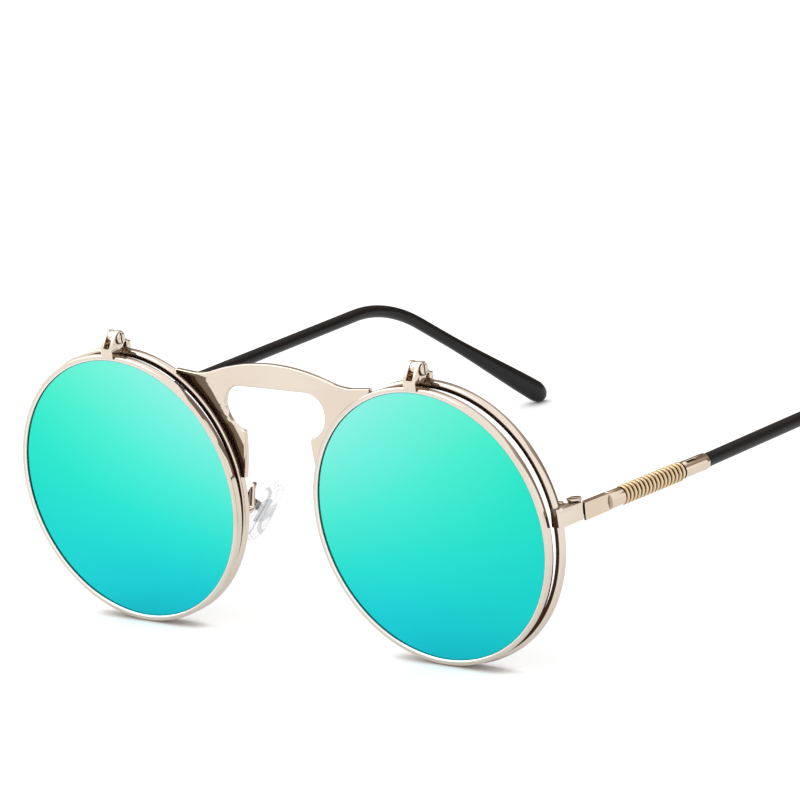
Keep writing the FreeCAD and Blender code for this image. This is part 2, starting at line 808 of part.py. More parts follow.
def left_side():
    """Every piece of the wearer's left side by its plain name."""
    return {
        "rim": rim(),
        "rear_lens": at_rim(domed_lens(rim_depth)),
        "end_piece": end_piece(),
        "rim_lock_upper": lock_span(hinge_z + rim_slit / 2, end_top - seat_gap),
        "rim_lock_lower": lock_span(end_bottom, hinge_z - rim_slit / 2),
        "rim_lock_screw": lock_screw(),
        "temple_hinge_screw": hinge_screw(),
        "flip_lug": flip_lug(),
        "pad_arm": pad_arm(),
        "pad_box": pad_box(),
        "pad_screw": pad_screw(),
        "pad_insert": pad_insert(),
        "nose_pad": nose_pad(),
        "flip_ring": on_flip(eye_ring(flip_radius, flip_depth, flip_edge_round)),
        "mirror_lens": on_flip(domed_lens(flip_depth)),
        "flip_yoke": flip_yoke(),
        "temple_bar": temple_bar(),
        "ferrule": ferrule(),
        "core_wire": core_wire(),
        "temple_tip": temple_tip(),
    }


def same_handed(shape):
    """The right temple's place for a piece that isn't mirrored, such as a wound spring."""
    shape = shape.copy()
    shape.rotate(origin, x_axis, -bar_drop)
    shape.rotate(origin, z_axis, bar_splay)
    return shape.translated(vec(-bar_base.x, bar_base.y, bar_base.z))


def all_pieces():
    pieces = {"bridge": bridge()}
    for name, shape in left_side().items():
        pieces["left_" + name] = shape
        pieces["right_" + name] = mirrored(shape)
    pieces["left_temple_spring"] = temple_spring(on_temple)
    pieces["right_temple_spring"] = temple_spring(same_handed)
    pieces["left_flip_screw"] = flip_screw()
    pieces["right_flip_screw"] = flip_screw().translated(vec(-2 * flip_x, 0, 0))
    return pieces


def lowest(shape, lean):
    turned = shape.copy()
    turned.rotate(origin, x_axis, lean)
    return turned.optimalBoundingBox(False).ZMin


def rest_lean(rim_shape, tip_shape):
    """Forward lean at which the rims and the temple tips stand on one level."""
    low = 0.0
    high = 10.0
    for _ in range(16):
        middle = (low + high) / 2
        if lowest(tip_shape, middle) < lowest(rim_shape, middle):
            low = middle
        else:
            high = middle
    return (low + high) / 2


def settling(pieces):
    """Placement that stands the glasses on z = 0 with their box centred on the origin."""
    lean = rest_lean(pieces["left_rim"], pieces["left_temple_tip"])
    turn = FreeCAD.Rotation(x_axis, lean)
    box = Part.makeCompound(list(pieces.values()))
    box.rotate(origin, x_axis, lean)
    bounds = box.optimalBoundingBox(False)
    shift = vec(-bounds.Center.x, -bounds.Center.y, -bounds.ZMin)
    print("rest lean %.3f degrees, box %.2f x %.2f x %.2f mm"
          % (lean, bounds.XLength, bounds.YLength, bounds.ZLength))
    return FreeCAD.Placement(shift, turn)


def settled(shape, placement):
    shape = shape.copy()
    shape.Placement = placement.multiply(shape.Placement)
    return shape


pieces = all_pieces()
placement = settling(pieces)
turn_length = 2 * math.pi * (spring_outer_radius - spring_wire / 2)
print("least gap of each spring to itself %.3f mm" % least_gap(spring_path(), spring_wire, turn_length / 2))
os.makedirs("parts", exist_ok=True)
for name, shape in pieces.items():
    solid = settled(shape, placement)
    print("%-26s %s solids %d volume %.2f" % (name, solid.isValid(), len(solid.Solids), solid.Volume))
    solid.exportStep("parts/" + name + ".step")
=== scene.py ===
import bmesh
import bpy
import json
import math
from mathutils import Matrix, Vector

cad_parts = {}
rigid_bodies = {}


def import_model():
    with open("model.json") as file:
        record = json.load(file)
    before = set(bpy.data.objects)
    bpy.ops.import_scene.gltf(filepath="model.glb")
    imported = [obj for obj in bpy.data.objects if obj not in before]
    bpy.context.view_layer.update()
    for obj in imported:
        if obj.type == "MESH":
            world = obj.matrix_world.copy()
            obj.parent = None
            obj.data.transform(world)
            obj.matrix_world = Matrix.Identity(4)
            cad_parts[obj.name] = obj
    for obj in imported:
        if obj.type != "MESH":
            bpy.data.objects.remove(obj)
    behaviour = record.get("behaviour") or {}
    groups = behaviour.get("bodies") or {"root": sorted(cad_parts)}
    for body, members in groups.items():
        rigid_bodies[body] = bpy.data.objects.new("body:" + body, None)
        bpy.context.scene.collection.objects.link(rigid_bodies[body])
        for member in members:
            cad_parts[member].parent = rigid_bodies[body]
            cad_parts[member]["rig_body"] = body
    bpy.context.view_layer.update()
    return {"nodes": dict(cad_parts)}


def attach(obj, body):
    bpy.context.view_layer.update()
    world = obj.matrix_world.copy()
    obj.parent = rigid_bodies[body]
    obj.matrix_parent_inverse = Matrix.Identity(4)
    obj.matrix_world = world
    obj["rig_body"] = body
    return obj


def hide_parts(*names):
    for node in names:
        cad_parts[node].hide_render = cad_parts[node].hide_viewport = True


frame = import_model()
nodes = frame["nodes"]

# Sizes are in millimetres, as in the part's source. Finished meshes are in metres.
MM = 0.001
SCALE = Matrix.Scale(MM, 4)
X = Vector((1, 0, 0))
Y = Vector((0, 1, 0))
Z = Vector((0, 0, 1))

# Where the glasses stand: leaned forward on rims and temple tips, and centred
rest_place = (0, -74.4924, 25.2744)
rest_lean = math.radians(1.84334)
REST = Matrix.Translation(rest_place) @ Matrix.Rotation(rest_lean, 4, "X")
MIRROR = Matrix.Scale(-1, 4, X)
SIDES = {"left": Matrix.Identity(4), "right": MIRROR}

# Rims and flip rings, made around Y with the front at y = 0
lens_view_radius = 24.0
lens_edge_radius = 24.45
lens_thickness = 0.7
lens_dome = 0.45
groove_radius = 24.5
groove_width = 0.8
groove_round = 0.08
lip_round = 0.22
lip_cut = 0.32
hinge_height = 3.28
rim_x = 34.45
rim_radius = 25.3
rim_depth = 1.6
rim_slit = 0.16
rim_front_round = 0.5
rim_back_round = 0.2
flip_x = 33.85
flip_radius = 25.0
flip_depth = 1.6
flip_round = 0.32
flip_axis_y = -0.98
flip_axis_z = 27.68
flip_lean = math.radians(1.82131)
flip_ahead = 2.4
RIM = Matrix.Translation((rim_x, 0, 0))
FLIP = (
    Matrix.Translation((flip_x, flip_axis_y, flip_axis_z))
    @ Matrix.Rotation(flip_lean, 4, "X")
    @ Matrix.Translation((0, -flip_ahead, -flip_axis_z))
)

# Temple, made along Y from the hinge end of the bar
bar_base = Vector((60.75, 5.45, 3.28))
bar_splay = math.radians(4.36)
bar_drop = math.radians(1.4)
spring_start = 9.75
spring_length = 16.5
spring_outer_radius = 1.72
spring_wire = 0.94
spring_turns = 15.5
spring_tuck = math.radians(68)
ferrule_start = 26.25
ferrule_length = 6.73
ferrule_radius = 1.5
ferrule_bore = 0.82
ferrule_end_round = 0.375
ferrule_slot_start = 1.375
ferrule_slot_end = 5.375
ferrule_slot_depth = 0.3
ferrule_slot_half_angle = math.radians(9)
ferrule_slot_turn = math.radians(25)
temple_metal = 33.0
tip_gap = 0.1
tip_radius = 1.25
tip_splay = math.radians(1.52)
tip_drop = math.radians(1.6)
tip_straight = 75.45
tip_bend_radius = 30.0
tip_run = Vector((-8.4, 38.6, -29.9))
paddle_length = 32.0
paddle_half_height = 2.2
paddle_half_width = 1.45
paddle_round = 3.6
paddle_end_share = 0.02
TEMPLE = (
    Matrix.Translation(bar_base)
    @ Matrix.Rotation(-bar_splay, 4, "Z")
    @ Matrix.Rotation(-bar_drop, 4, "X")
)

# Nose pads
pad_centre = Vector((10.5, 6.6, -4.5))
pad_up = Vector((-0.5, 0.33, 0.8))
pad_facing = Vector((-0.86, 0.084, -0.51))
pad_thickness = 2.1
pad_upper_radius = 2.7
pad_lower_radius = 3.4
pad_upper_offset = 3.2
pad_lower_offset = 2.6
pad_round = 0.85
pad_crown = 0.3
pad_crown_steps = (0.55, 0.3, 0.15)
pad_crown_inset = 0.55
PAD_ACROSS = Vector((0, 0.924, -0.381))

# How finely the round shapes are divided
ring_steps = 192
lens_steps = 128
dome_steps = 38
coil_steps = 32
wire_sides = 14
ferrule_steps = 72
tip_sides = 32
tip_bend_steps = 24
paddle_steps = 10
paddle_end_steps = 8
pad_sides = 64
pad_round_steps = 6
rounding_steps = 5
edge_steps = 2

# What counts as one point, as flat and as a corner
seam_merge = 0.0005
cad_merge = 0.001
flat_angle = math.radians(0.5)
corner_angle = math.radians(40)
level_edge = 0.01

# Rounding of the edges of each CAD piece
EDGE = {
    "bridge": 0.06, "end_piece": 0.14, "temple_bar": 0.14, "flip_yoke": 0.08, "flip_lug": 0.08,
    "temple_hinge_screw": 0.06, "flip_screw": 0.05, "rim_lock_upper": 0.05, "rim_lock_lower": 0.05,
    "rim_lock_screw": 0.04, "pad_arm": 0.0, "pad_box": 0.05, "pad_screw": 0.03,
}

# Degrees past which an edge is shaded as sharp. The large flat faces of bridge and temple bar stay
# true mirrors right up to their rounded edges.
usual_sharp = 35
SHARP = {
    "rim": 40, "flip_ring": 40, "mirror_lens": 40, "rear_lens": 40, "temple_spring": 60,
    "temple_tip": 50, "nose_pad": 60, "bridge": 15, "temple_bar": 20,
}

# Floors of the screws' slots, painted dark as shade: the way they face, and their depth under the
# head
SLOT_FACING = {"temple_hinge_screw": Z, "rim_lock_screw": Z, "flip_screw": X}
slot_deepest = 0.35
slot_shallowest = 0.1


def linear(code):
    """A linear colour from an sRGB hex value."""
    parts = [int(code[i:i + 2], 16) / 255 for i in (1, 3, 5)]
    return [p / 12.92 if p <= 0.04045 else ((p + 0.055) / 1.055) ** 2.4 for p in parts] + [1]


def add(tree, kind, inputs=None, stops=None, **settings):
    """Add a node with its settings, fill or link its inputs, and set the stops of a ramp."""
    made = tree.nodes.new(kind)
    for name, value in settings.items():
        setattr(made, name, value)
    for place, value in (inputs or {}).items():
        if isinstance(value, bpy.types.NodeSocket):
            tree.links.new(value, made.inputs[place])
        else:
            made.inputs[place].default_value = value
    for i, (position, code) in enumerate(stops or []):
        ramp = made.color_ramp
        step = ramp.elements[i] if i < 2 else ramp.elements.new(position)
        step.position = position
        step.color = linear(code)
    return made


def new_material(name):
    """An empty node material and its output."""
    material = bpy.data.materials.new(name)
    material.use_nodes = True
    tree = material.node_tree
    tree.nodes.clear()
    return material, tree, add(tree, "ShaderNodeOutputMaterial")


def champagne_metal(name, deep, pale):
    """Nickel silver, polished and plated pale champagne: a clear mirror with a faint buffing haze.
    The temples get a warmer, slightly darker copy of it than the front."""
    material, tree, output = new_material(name)
    place = add(tree, "ShaderNodeTexCoord").outputs["Object"]
    haze = add(tree, "ShaderNodeTexNoise", {
        "Vector": place, "Scale": 1 / (0.9 * MM), "Detail": 3.0})
    tone = add(tree, "ShaderNodeTexNoise", {
        "Vector": place, "Scale": 1 / (14 * MM), "Detail": 1.0})
    plating = add(tree, "ShaderNodeValToRGB", {"Fac": tone.outputs["Fac"]},
                  stops=[(0.35, deep), (0.65, pale)])
    polish = add(tree, "ShaderNodeMapRange", {
        "Value": haze.outputs["Fac"], "From Min": 0.3, "From Max": 0.7,
        "To Min": 0.05, "To Max": 0.075})
    shader = add(tree, "ShaderNodeBsdfPrincipled", {
        "Base Color": plating.outputs["Color"], "Metallic": 1.0,
        "Roughness": polish.outputs["Result"]})
    tree.links.new(shader.outputs["BSDF"], output.inputs["Surface"])
    return material


def unpolished_metal_painted_shade():
    """Nickel silver in slots and joint faces that no buffing wheel reaches: dull, and painted
    dark brown as the shade that falls in them.
    """
    material, tree, output = new_material("unpolished_nickel_silver_painted_shade")
    place = add(tree, "ShaderNodeTexCoord").outputs["Object"]
    grain = add(tree, "ShaderNodeTexNoise", {
        "Vector": place, "Scale": 1 / (0.25 * MM), "Detail": 3.0})
    painted_shade_brown = add(tree, "ShaderNodeValToRGB", {"Fac": grain.outputs["Fac"]},
                stops=[(0.3, "#33261D"), (0.7, "#544234")])
    rough = add(tree, "ShaderNodeMapRange", {
        "Value": grain.outputs["Fac"], "To Min": 0.4, "To Max": 0.6})
    shader = add(tree, "ShaderNodeBsdfPrincipled", {
        "Base Color": painted_shade_brown.outputs["Color"], "Metallic": 1.0,
        "Roughness": rough.outputs["Result"]})
    tree.links.new(shader.outputs["BSDF"], output.inputs["Surface"])
    return material


def milled_metal():
    """Nickel silver as the milling cutter leaves it, plated over: pale and satin, because its fine
    marks scatter the light."""
    material, tree, output = new_material("milled_nickel_silver")
    place = add(tree, "ShaderNodeTexCoord").outputs["Object"]
    grain = add(tree, "ShaderNodeTexNoise", {
        "Vector": place, "Scale": 1 / (0.2 * MM), "Detail": 3.0})
    plating = add(tree, "ShaderNodeValToRGB", {"Fac": grain.outputs["Fac"]},
                  stops=[(0.3, "#E6D3BC"), (0.7, "#F1E3D4")])
    rough = add(tree, "ShaderNodeMapRange", {
        "Value": grain.outputs["Fac"], "To Min": 0.45, "To Max": 0.6})
    shader = add(tree, "ShaderNodeBsdfPrincipled", {
        "Base Color": plating.outputs["Color"], "Metallic": 0.25,
        "Roughness": rough.outputs["Result"]})
    tree.links.new(shader.outputs["BSDF"], output.inputs["Surface"])
    return material


def painted_highlight_lip_metal():
    """Lip round the lens with a painted highlight: a fine line of nearly white mirror, lighter
    than the plated ring."""
    material, tree, output = new_material("painted_highlight_lip")
    place = add(tree, "ShaderNodeTexCoord").outputs["Object"]
    marks = add(tree, "ShaderNodeTexNoise", {
        "Vector": place, "Scale": 1 / (0.5 * MM), "Detail": 2.0})
    painted_highlight_white = add(tree, "ShaderNodeValToRGB", {"Fac": marks.outputs["Fac"]},
               stops=[(0.3, "#F6F4F1"), (0.7, "#FEFDFB")])
    polish = add(tree, "ShaderNodeMapRange", {
        "Value": marks.outputs["Fac"], "To Min": 0.15, "To Max": 0.25})
    shader = add(tree, "ShaderNodeBsdfPrincipled", {
        "Base Color": painted_highlight_white.outputs["Color"], "Metallic": 1.0,
        "Roughness": polish.outputs["Result"]})
    tree.links.new(shader.outputs["BSDF"], output.inputs["Surface"])
    return material


def gold_spring():
    """Spring steel wire, drawn and gold plated, with painted shade: pale on the outer crests and
    dark brown towards the inside of the coil, where the turns nearly touch."""
    material, tree, output = new_material("gold_plated_spring_wire")
    place = add(tree, "ShaderNodeTexCoord").outputs["Object"]
    painted_cleft_shade = add(tree, "ShaderNodeAttribute", attribute_name="painted_cleft_shade")
    plating = add(tree, "ShaderNodeValToRGB", {"Fac": painted_cleft_shade.outputs["Fac"]},
                  stops=[(0.0, "#F2E1C6"), (1.0, "#2C180B"), (0.2, "#D8B684"), (0.5, "#6E4626")])
    grain = add(tree, "ShaderNodeTexNoise", {
        "Vector": place, "Scale": 1 / (0.4 * MM), "Detail": 2.0})
    polish = add(tree, "ShaderNodeMapRange", {
        "Value": grain.outputs["Fac"], "From Min": 0.3, "From Max": 0.7,
        "To Min": 0.05, "To Max": 0.1})
    shader = add(tree, "ShaderNodeBsdfPrincipled", {
        "Base Color": plating.outputs["Color"], "Metallic": 1.0,
        "Roughness": polish.outputs["Result"]})
    tree.links.new(shader.outputs["BSDF"], output.inputs["Surface"])
    return material


def mirror_coat():
    """Vacuum coated mirror on polycarbonate: turquoise that pales up towards the nose, deepens
    below and turns a little greener outwards."""
    material, tree, output = new_material("turquoise_mirror_coat")
    place = add(tree, "ShaderNodeTexCoord").outputs["Object"]
    split = add(tree, "ShaderNodeSeparateXYZ", {"Vector": place})
    lens_middle = 34 * MM
    outward = add(tree, "ShaderNodeMath", {0: split.outputs["X"]}, operation="ABSOLUTE")
    centred = add(tree, "ShaderNodeMath", {0: outward.outputs[0], 1: lens_middle},
                  operation="SUBTRACT")
    lean = add(tree, "ShaderNodeMapRange", {
        "Value": split.outputs["Z"], "From Min": 6 * MM, "From Max": 38 * MM,
        "To Min": -0.1, "To Max": -0.66})
    layer = add(tree, "ShaderNodeMath", {
        0: centred.outputs[0], 1: lean.outputs["Result"], 2: split.outputs["Z"]},
        operation="MULTIPLY_ADD")
    depth = add(tree, "ShaderNodeMapRange", {
        "Value": layer.outputs[0], "From Min": 0.0, "From Max": 60 * MM})
    hue = add(tree, "ShaderNodeValToRGB", {"Fac": depth.outputs["Result"]},
              stops=[(0.0, "#1EDDF1"), (1.0, "#9BFAEC"), (0.17, "#21E3E7"), (0.35, "#2FEFDF"),
                     (0.55, "#4EF7DE"), (0.78, "#75FAE4")])
    edge = add(tree, "ShaderNodeMapRange", {
        "Value": centred.outputs[0], "From Min": -10 * MM, "From Max": 24 * MM})
    greener = add(tree, "ShaderNodeValToRGB", {"Fac": edge.outputs["Result"]},
                  stops=[(0.0, "#FFFBFD"), (1.0, "#FCFBEB")])
    coat = add(tree, "ShaderNodeMix", {
        0: 1.0, 6: hue.outputs["Color"], 7: greener.outputs["Color"]},
        data_type="RGBA", blend_type="MULTIPLY")
    smear = add(tree, "ShaderNodeTexNoise", {
        "Vector": place, "Scale": 1 / (6 * MM), "Detail": 2.0})
    polish = add(tree, "ShaderNodeMapRange", {
        "Value": smear.outputs["Fac"], "To Min": 0.04, "To Max": 0.09})
    shader = add(tree, "ShaderNodeBsdfPrincipled", {
        "Base Color": coat.outputs[2], "Metallic": 1.0, "Roughness": polish.outputs["Result"]})
    tree.links.new(shader.outputs["BSDF"], output.inputs["Surface"])
    return material


def brown_tint():
    """Tinted polycarbonate behind the mirror coat: deep brown and glossy, as the wearer sees it."""
    material, tree, output = new_material("brown_tinted_polycarbonate")
    place = add(tree, "ShaderNodeTexCoord").outputs["Object"]
    cloud = add(tree, "ShaderNodeTexNoise", {
        "Vector": place, "Scale": 1 / (18 * MM), "Detail": 1.0})
    tint = add(tree, "ShaderNodeValToRGB", {"Fac": cloud.outputs["Fac"]},
               stops=[(0.3, "#2A1B16"), (0.7, "#352319")])
    shader = add(tree, "ShaderNodeBsdfPrincipled", {
        "Base Color": tint.outputs["Color"], "Roughness": 0.06, "IOR": 1.586})
    tree.links.new(shader.outputs["BSDF"], output.inputs["Surface"])
    return material


def clear_lens():
    """Clear polycarbonate lens: water white with a barely cooler body and a few faint smears."""
    material, tree, output = new_material("clear_polycarbonate")
    place = add(tree, "ShaderNodeTexCoord").outputs["Object"]
    smear = add(tree, "ShaderNodeTexNoise", {
        "Vector": place, "Scale": 1 / (5 * MM), "Detail": 3.0})
    body = add(tree, "ShaderNodeValToRGB", {"Fac": smear.outputs["Fac"]},
               stops=[(0.3, "#F3F7F5"), (0.7, "#FAFCFB")])
    polish = add(tree, "ShaderNodeMapRange", {
        "Value": smear.outputs["Fac"], "From Min": 0.45, "From Max": 0.8,
        "To Min": 0.0, "To Max": 0.02})
    shader = add(tree, "ShaderNodeBsdfPrincipled", {
        "Base Color": body.outputs["Color"], "Roughness": polish.outputs["Result"], "IOR": 1.586,
        "Transmission Weight": 1.0})
    tree.links.new(shader.outputs["BSDF"], output.inputs["Surface"])
    return material


def silicone_pad():
    """Clear moulded silicone: the eye looks through it, apart from its glossy skin and the flow
    lines along it."""
    material, tree, output = new_material("clear_silicone")
    place = add(tree, "ShaderNodeTexCoord").outputs["Object"]
    across = add(tree, "ShaderNodeVectorMath", {0: place, 1: PAD_ACROSS}, operation="DOT_PRODUCT")
    flow = add(tree, "ShaderNodeTexNoise", {
        "W": across.outputs["Value"], "Scale": 1 / (0.7 * MM), "Detail": 1.0},
        noise_dimensions="1D")
    body = add(tree, "ShaderNodeValToRGB", {"Fac": flow.outputs["Fac"]},
               stops=[(0.35, "#AFB3C0"), (0.55, "#FFFFFF")])
    edge = add(tree, "ShaderNodeLayerWeight", {"Blend": 0.5})
    skirt = add(tree, "ShaderNodeMapRange", {
        "Value": edge.outputs["Facing"], "From Min": 0.55, "To Min": 0.1, "To Max": 0.45})
    filled = add(tree, "ShaderNodeMapRange", {
        "Value": flow.outputs["Fac"], "From Min": 0.35, "From Max": 0.5,
        "To Min": 0.5, "To Max": skirt.outputs["Result"]})
    skin = add(tree, "ShaderNodeTexNoise", {
        "Vector": place, "Scale": 1 / (1.1 * MM), "Detail": 2.0})
    polish = add(tree, "ShaderNodeMapRange", {
        "Value": skin.outputs["Fac"], "To Min": 0.05, "To Max": 0.15})
    shader = add(tree, "ShaderNodeBsdfPrincipled", {
        "Base Color": body.outputs["Color"], "Roughness": polish.outputs["Result"], "IOR": 1.41,
        "Alpha": filled.outputs["Result"]})
    tree.links.new(shader.outputs["BSDF"], output.inputs["Surface"])
    return material


def pad_insert():
    """Clear moulded polycarbonate plate inside the pad: a faint grey ghost with flow lines."""
    material, tree, output = new_material("clear_polycarbonate_insert")
    place = add(tree, "ShaderNodeTexCoord").outputs["Object"]
    across = add(tree, "ShaderNodeVectorMath", {0: place, 1: PAD_ACROSS}, operation="DOT_PRODUCT")
    flow = add(tree, "ShaderNodeTexNoise", {
        "W": across.outputs["Value"], "Scale": 1 / (0.45 * MM), "Detail": 1.0},
        noise_dimensions="1D")
    body = add(tree, "ShaderNodeValToRGB", {"Fac": flow.outputs["Fac"]},
               stops=[(0.35, "#8A8E9A"), (0.6, "#F4F5F7")])
    filled = add(tree, "ShaderNodeMapRange", {
        "Value": flow.outputs["Fac"], "From Min": 0.35, "From Max": 0.6,
        "To Min": 0.55, "To Max": 0.1})
    shader = add(tree, "ShaderNodeBsdfPrincipled", {
        "Base Color": body.outputs["Color"], "Roughness": 0.08, "IOR": 1.586,
        "Alpha": filled.outputs["Result"]})
    tree.links.new(shader.outputs["BSDF"], output.inputs["Surface"])
    return material


def black_tip():
    """Cellulose acetate, dyed black and tumbled: satin with a soft streak of light on top."""
    material, tree, output = new_material("tumbled_black_acetate")
    place = add(tree, "ShaderNodeTexCoord").outputs["Object"]
    grain = add(tree, "ShaderNodeTexNoise", {
        "Vector": place, "Scale": 1 / (0.7 * MM), "Detail": 3.0})
    dye = add(tree, "ShaderNodeValToRGB", {"Fac": grain.outputs["Fac"]},
              stops=[(0.3, "#0C0B0C"), (0.7, "#121011")])
    polish = add(tree, "ShaderNodeMapRange", {
        "Value": grain.outputs["Fac"], "To Min": 0.26, "To Max": 0.38})
    shader = add(tree, "ShaderNodeBsdfPrincipled", {
        "Base Color": dye.outputs["Color"], "Roughness": polish.outputs["Result"], "IOR": 1.48,
        "Specular IOR Level": 0.35})
    tree.links.new(shader.outputs["BSDF"], output.inputs["Surface"])
    return material


METAL = champagne_metal("champagne_plated_nickel_silver", "#ECDCCB", "#F1E3D4")
TEMPLE_METAL = champagne_metal("warm_champagne_plated_nickel_silver", "#E7D4BC", "#ECDAC4")
# The unpolished finish carries painted shade, and the lip finish a painted highlight.
UNPOLISHED_PAINTED_SHADE = unpolished_metal_painted_shade()
MILLED = milled_metal()
LIP_PAINTED_HIGHLIGHT = painted_highlight_lip_metal()
GOLD = gold_spring()
MIRROR_COAT = mirror_coat()
BROWN_TINT = brown_tint()
CLEAR_LENS = clear_lens()
SILICONE = silicone_pad()
INSERT = pad_insert()
BLACK_TIP = black_tip()

# The finishes that pieces have beside each other. Those of the temples stand in the usual order.
FINISHES = [METAL, UNPOLISHED_PAINTED_SHADE, MILLED]
TEMPLE_FINISHES = [TEMPLE_METAL, UNPOLISHED_PAINTED_SHADE, MILLED]
RING_FINISHES = [METAL, LIP_PAINTED_HIGHLIGHT, MILLED]
LENS_FINISHES = [MIRROR_COAT, BROWN_TINT]

# Faces with another finish: the way they look, their stretch along it, and the finish. The first
# two meet in the temple joint and are painted dark as the shade there, and the last is the leaf
# that the cutter leaves before the boss.
REFINISHED = {
    "end_piece": [(Y, -70.5, -69.2, UNPOLISHED_PAINTED_SHADE)],
    "temple_bar": [(-Y, 68.3, 69.8, UNPOLISHED_PAINTED_SHADE), (-Y, 62.0, 63.2, MILLED)],
}

# CAD pieces that keep their shape
KEPT = {"core_wire": GOLD, "pad_insert": INSERT}


def kind_of(node):
    """The name of a node without its side."""
    return node.split("_", 1)[1] if node.startswith(("left_", "right_")) else node


def finish_piece(shape, name, materials, node):
    """Turn a bmesh in metres into a piece that stands for a CAD node and moves with its body."""
    for face in shape.faces:
        face.smooth = True
    mesh = bpy.data.meshes.new(name)
    shape.to_mesh(mesh)
    shape.free()
    mesh.set_sharp_from_angle(angle=math.radians(SHARP.get(kind_of(node), usual_sharp)))
    for material in materials:
        mesh.materials.append(material)
    piece = bpy.data.objects.new(name, mesh)
    bpy.context.scene.collection.objects.link(piece)
    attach(piece, nodes[node]["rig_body"])
    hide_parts(node)


def only(kind, parts):
    """The vertices or the edges among what an operator gives back."""
    return [part for part in parts if isinstance(part, kind)]


def closed_outline(shape, points):
    """Corners at a radius and a y each, joined in a ring of edges."""
    corners = [shape.verts.new((radius, y, 0)) for radius, y in points]
    for a, b in zip(corners, corners[1:] + corners[:1]):
        shape.edges.new((a, b))
    return corners


def close_ends(shape):
    """Fill the open ends of a shape."""
    bmesh.ops.holes_fill(shape, edges=[e for e in shape.edges if e.is_boundary], sides=0)


def close_seams(shape):
    """Merge the seams and poles of a spun shape, and turn its faces outwards."""
    bmesh.ops.remove_doubles(shape, verts=shape.verts, dist=seam_merge)
    bmesh.ops.recalc_face_normals(shape, faces=shape.faces)


def placed(shape, place):
    """Set a bmesh made in millimetres to its place at rest, in metres, with its faces outwards."""
    close_seams(shape)
    bmesh.ops.transform(shape, matrix=SCALE @ REST @ place, verts=shape.verts)
    if place.is_negative:
        bmesh.ops.reverse_faces(shape, faces=shape.faces)
    return shape


def eye_ring(outer, depth, gap, front_round, back_round):
    """Ring with rounded edges and a lens groove inside, open by a gap at the hinge's height."""
    shape = bmesh.new()
    groove_front = (depth - groove_width) / 2
    groove_back = groove_front + groove_width
    outline = [
        (outer, 0, front_round), (outer, depth, back_round),
        (lens_view_radius, depth, lip_round), (lens_view_radius, groove_back, groove_round),
        (groove_radius, groove_back, 0), (groove_radius, groove_front, 0),
        (lens_view_radius, groove_front, groove_round), (lens_view_radius, 0, lip_cut),
    ]
    corners = closed_outline(shape, [(radius, y) for radius, y, _ in outline])
    # A set, because equal roundings are cut together.
    for rounding in {front_round, back_round, lip_cut, lip_round, groove_round}:
        picked = [v for v, (_, _, wanted) in zip(corners, outline) if wanted == rounding]
        bmesh.ops.bevel(shape, geom=picked, offset=rounding, affect="VERTICES",
                        segments=rounding_steps, profile=0.5, material=-1)
    start = math.asin((hinge_height + gap / 2) / outer)
    bmesh.ops.rotate(shape, verts=shape.verts, cent=(0, 0, 0),
                     matrix=Matrix.Rotation(-start, 3, "Y"))
    bmesh.ops.spin(shape, geom=shape.verts[:] + shape.edges[:], cent=(0, 0, 0), axis=-Y,
                   angle=2 * math.pi - gap / outer, steps=ring_steps, use_merge=gap == 0)
    if gap:
        close_ends(shape)
    for face in shape.faces:
        middle = face.calc_center_median()
        radius = math.hypot(middle.x, middle.z)
        # The lip round the lens gets the painted highlight, and the wall behind it the milled
        # finish.
        if middle.y < lip_cut and radius < lens_view_radius + lip_cut:
            face.material_index = RING_FINISHES.index(LIP_PAINTED_HIGHLIGHT)
        elif radius < lens_view_radius + groove_round:
            face.material_index = RING_FINISHES.index(MILLED)
    return shape


def domed_lens(depth):
    """Lens bulging forward, with its edge in the middle of a ring of this depth."""
    shape = bmesh.new()
    curve = (lens_edge_radius ** 2 + lens_dome ** 2) / (2 * lens_dome)
    crown = (depth - lens_thickness) / 2 - lens_dome
    half_angle = math.asin(lens_edge_radius / curve)
    rims = []
    for start in (crown, crown + lens_thickness):
        pole = shape.verts.new((0, start, 0))
        made = bmesh.ops.spin(shape, geom=[pole], cent=(0, start + curve, 0), axis=-Z,
                              angle=-half_angle, steps=dome_steps)
        rims.append(made["geom_last"][0])
    shape.edges.new(rims)
    bmesh.ops.spin(shape, geom=shape.verts[:] + shape.edges[:], cent=(0, 0, 0), axis=Y,
                   angle=2 * math.pi, steps=lens_steps, use_merge=True)
    close_seams(shape)
    return shape


def coated_lens():
    """Lens with the coat on its front and the tinted body everywhere else."""
    shape = domed_lens(flip_depth)
    for face in shape.faces:
        finish = MIRROR_COAT if face.normal.y < -0.5 else BROWN_TINT
        face.material_index = LENS_FINISHES.index(finish)
    return shape


def spring_coil(tuck):
    """Close wound coil along Y from y = 0, turned to tuck its wire ends away from the outside."""
    shape = bmesh.new()
    winding = spring_outer_radius - spring_wire / 2
    steps = int(spring_turns * coil_steps)
    pitch = (spring_length - spring_wire) / spring_turns
    bmesh.ops.create_circle(shape, cap_ends=False, radius=spring_wire / 2, segments=wire_sides)
    bmesh.ops.translate(shape, verts=shape.verts, vec=(winding, spring_wire / 2, 0))
    bmesh.ops.spin(shape, geom=shape.verts[:] + shape.edges[:], cent=(0, 0, 0), axis=-Y,
                   angle=spring_turns * 2 * math.pi, dvec=Y * pitch * spring_turns / steps,
                   steps=steps)
    # How deep each point lies under the coil's outside, which sets the spring's painted shade.
    painted_cleft_shade = shape.verts.layers.float.new("painted_cleft_shade")
    for vert in shape.verts:
        sunk = spring_outer_radius - math.hypot(vert.co.x, vert.co.z)
        vert[painted_cleft_shade] = min(1.0, sunk / (spring_wire / 2))
    close_ends(shape)
    bmesh.ops.rotate(shape, verts=shape.verts, cent=(0, 0, 0), matrix=Matrix.Rotation(tuck, 3, "Y"))
    return shape


